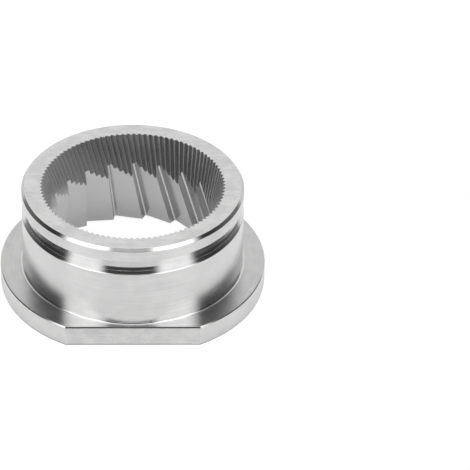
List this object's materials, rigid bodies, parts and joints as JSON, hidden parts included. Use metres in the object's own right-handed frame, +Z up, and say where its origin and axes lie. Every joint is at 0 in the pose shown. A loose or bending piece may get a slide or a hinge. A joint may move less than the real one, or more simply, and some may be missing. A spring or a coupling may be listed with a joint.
{
  "type": "coffee grinder burr",
  "caption": "Steel ring burr for a conical coffee grinder: flanged, toothed cone bore with coarse ribs below and fine teeth above.",
  "frame": {"origin": "on the bore axis, in the plane of the shoulder, the upper face of the flange where the burr seats in its carrier", "axes": "+Z up the bore axis, from the flange to the finely toothed top face; -Y out of the flange's flat; +X to the right of the flat as seen from in front of it"},
  "size_m": [0.0722, 0.0675, 0.0302],
  "materials": {
    "burr_steel": "fine turned and ground steel, satin, with crisp edges"
  },
  "bodies": {
    "root": {"ring_burr": "burr_steel"}
  },
  "joints": []
}
